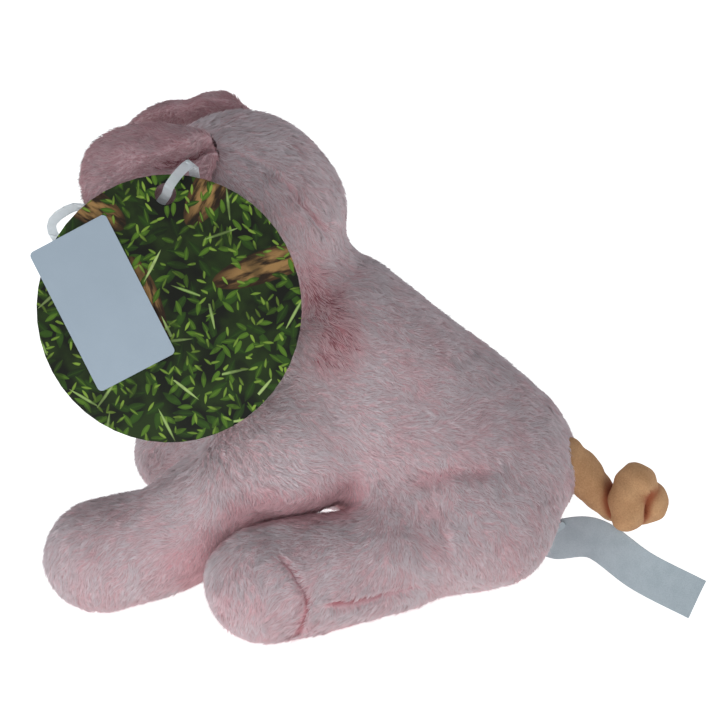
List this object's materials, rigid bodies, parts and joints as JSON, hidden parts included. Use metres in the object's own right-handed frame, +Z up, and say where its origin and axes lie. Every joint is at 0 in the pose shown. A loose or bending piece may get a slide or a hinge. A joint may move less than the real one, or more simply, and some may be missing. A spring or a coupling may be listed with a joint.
{
  "type": "plush pig",
  "caption": "Stuffed pink plush pig sitting with its legs stretched forward; floppy ears, suede snout, curled suede tail, woven label and round card tag.",
  "frame": {"origin": "middle of the flat under the rump, on the pig's middle plane", "axes": "+Z up; the pig faces -Y; its left side is +X"},
  "size_m": [0.1205, 0.177, 0.1334],
  "materials": {
    "plush": "matte",
    "suede": "matte",
    "eye": "gloss",
    "washer": "matte",
    "label": "satin",
    "card": "satin",
    "sticker": "satin",
    "strap": "satin"
  },
  "bodies": {
    "torso": {"torso": "plush"},
    "head": {"head": "plush", "snout": "suede", "eye_left": "eye", "eye_right": "eye", "eye_washer_left": "washer", "eye_washer_right": "washer", "tag_loop": "strap"},
    "ear_left": {"ear_left": "plush"},
    "ear_right": {"ear_right": "plush"},
    "front_leg_left": {"front_leg_left": "plush"},
    "front_leg_right": {"front_leg_right": "plush"},
    "hind_leg_left": {"hind_leg_left": "plush"},
    "hind_leg_right": {"hind_leg_right": "plush"},
    "tail": {"tail": "suede"},
    "care_label": {"care_label": "label"},
    "tag": {"card_tag": "card", "sticker": "sticker"}
  },
  "joints": [
    {"name": "head_turn", "type": "hinge", "parent": "torso", "child": "head", "pos_m": [0, -0.037, 0.069], "axis": [0, -0.5395, 0.842], "range_deg": [-20, 20], "stiffness_Nm_per_rad": 0.1},
    {"name": "ear_left_flop", "type": "hinge", "parent": "head", "child": "ear_left", "pos_m": [0.02094, -0.0637, 0.12706], "axis": [-0.7431, 0, 0.6691], "range_deg": [-6, 4], "stiffness_Nm_per_rad": 0.005},
    {"name": "ear_right_flop", "type": "hinge", "parent": "head", "child": "ear_right", "pos_m": [-0.02094, -0.0637, 0.12706], "axis": [-0.7431, 0, -0.6691], "range_deg": [-6, 32], "stiffness_Nm_per_rad": 0.005},
    {"name": "front_leg_left_lift", "type": "hinge", "parent": "torso", "child": "front_leg_left", "pos_m": [0.014, -0.043, 0.0465], "axis": [-1, 0, 0], "range_deg": [0, 20], "stiffness_Nm_per_rad": 0.08},
    {"name": "front_leg_right_lift", "type": "hinge", "parent": "torso", "child": "front_leg_right", "pos_m": [-0.014, -0.043, 0.0465], "axis": [-1, 0, 0], "range_deg": [0, 20], "stiffness_Nm_per_rad": 0.08},
    {"name": "hind_leg_left_splay", "type": "hinge", "parent": "torso", "child": "hind_leg_left", "pos_m": [0.018, 0.007, 0.0265], "axis": [0, 0, 1], "range_deg": [0, 25], "stiffness_Nm_per_rad": 0.08},
    {"name": "hind_leg_right_splay", "type": "hinge", "parent": "torso", "child": "hind_leg_right", "pos_m": [-0.018, 0.007, 0.0265], "axis": [0, 0, -1], "range_deg": [0, 25], "stiffness_Nm_per_rad": 0.08},
    {"name": "tail_wag", "type": "hinge", "parent": "torso", "child": "tail", "pos_m": [0, 0.034, 0.0316], "axis": [0, 0, 1], "range_deg": [-20, 20], "stiffness_Nm_per_rad": 0.004},
    {"name": "label_flap", "type": "hinge", "parent": "torso", "child": "care_label", "pos_m": [0, 0.02629, 0.0125], "axis": [0, -0.5878, -0.809], "range_deg": [-15, 15], "stiffness_Nm_per_rad": 0.0004},
    {"name": "tag_swing", "type": "hinge", "parent": "head", "child": "tag", "pos_m": [0.03844, -0.0721, 0.11946], "axis": [0, -1, 0], "range_deg": [0, 15]}
  ]
}
